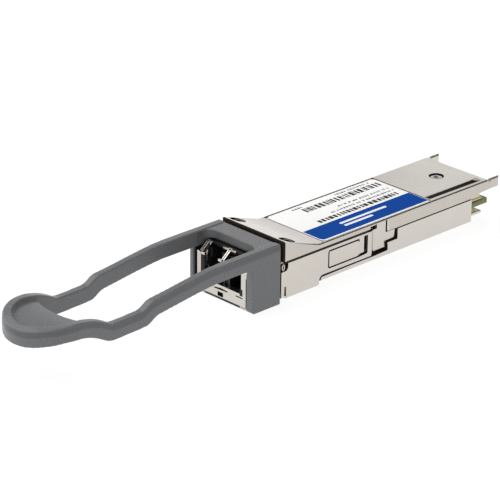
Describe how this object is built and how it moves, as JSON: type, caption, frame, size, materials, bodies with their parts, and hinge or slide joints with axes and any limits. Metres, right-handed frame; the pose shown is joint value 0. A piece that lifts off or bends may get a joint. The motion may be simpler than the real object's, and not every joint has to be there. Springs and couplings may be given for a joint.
{
  "type": "optical transceiver module",
  "caption": "Pluggable optical transceiver: metal body with a card edge, a duplex fibre port, and a grey pull tab on a sliding sheet-metal latch.",
  "frame": {"origin": "middle of the overall box, on the plane of its lowest point, which is the feet of the tab's frame", "axes": "+Y from the pull tab towards the edge connector, +X across the module, +Z out of the flat face with the label"},
  "size_m": [0.0184, 0.1292, 0.0136],
  "materials": {
    "nickel_plated_zinc": "bright nickel plating over a zinc die casting, satin with a fine cast grain",
    "stamped_stainless_sheet": "bright cold rolled stainless sheet",
    "screw_steel": "machined steel, light oil film",
    "spring_wire": "drawn music wire",
    "tab_plastic": "mid grey moulded nylon with a fine spark texture",
    "insert_plastic": "black moulded polymer",
    "label_paper": null,
    "board_laminate": "glass epoxy laminate under a green mask, olive at its bare edge",
    "contact_gold": "hard gold plating",
    "optics_gilt_shell": "gold flashed metal package",
    "sleeve_ceramic": "white zirconia, polished",
    "flex_film": "amber polyimide film with copper traces",
    "chip_epoxy": "black moulding compound",
    "capacitor_body": "sintered ceramic with tinned ends",
    "thermal_gel": "soft filled silicone pad",
    "gasket_elastomer": "conductive silicone"
  },
  "bodies": {
    "module": {"return_spring_left": "spring_wire", "return_spring_right": "spring_wire", "upper_housing": "nickel_plated_zinc", "lower_housing": "nickel_plated_zinc", "product_label": "label_paper", "cover_screw_left": "screw_steel", "cover_screw_right": "screw_steel", "cover_screw_rear": "screw_steel", "port_insert": "insert_plastic", "transmit_sleeve": "sleeve_ceramic", "receive_sleeve": "sleeve_ceramic", "transmit_assembly": "optics_gilt_shell", "receive_assembly": "optics_gilt_shell", "transmit_flex": "flex_film", "receive_flex": "flex_film", "optics_clamp": "stamped_stainless_sheet", "main_board": "board_laminate", "card_contacts_top": "contact_gold", "card_contacts_bottom": "contact_gold", "laser_driver_chip": "chip_epoxy", "receiver_chip": "chip_epoxy", "controller_chip": "chip_epoxy", "power_chip": "chip_epoxy", "clock_chip": "chip_epoxy", "filter_inductor_1": "chip_epoxy", "filter_inductor_2": "chip_epoxy", "capacitor_1": "capacitor_body", "capacitor_2": "capacitor_body", "capacitor_3": "capacitor_body", "capacitor_4": "capacitor_body", "thermal_pad_upper": "thermal_gel", "thermal_pad_lower": "thermal_gel", "seam_gasket_left": "gasket_elastomer", "seam_gasket_right": "gasket_elastomer"},
    "release": {"pull_tab": "tab_plastic", "latch_slider": "stamped_stainless_sheet"}
  },
  "joints": [
    {"name": "release_slide", "type": "slide", "parent": "module", "child": "release", "axis": [0, -1, 0], "range_m": [0, 0.0023], "stiffness_N_per_m": 600, "springref_m": -0.002, "deforming": ["return_spring_left", "return_spring_right"]}
  ]
}
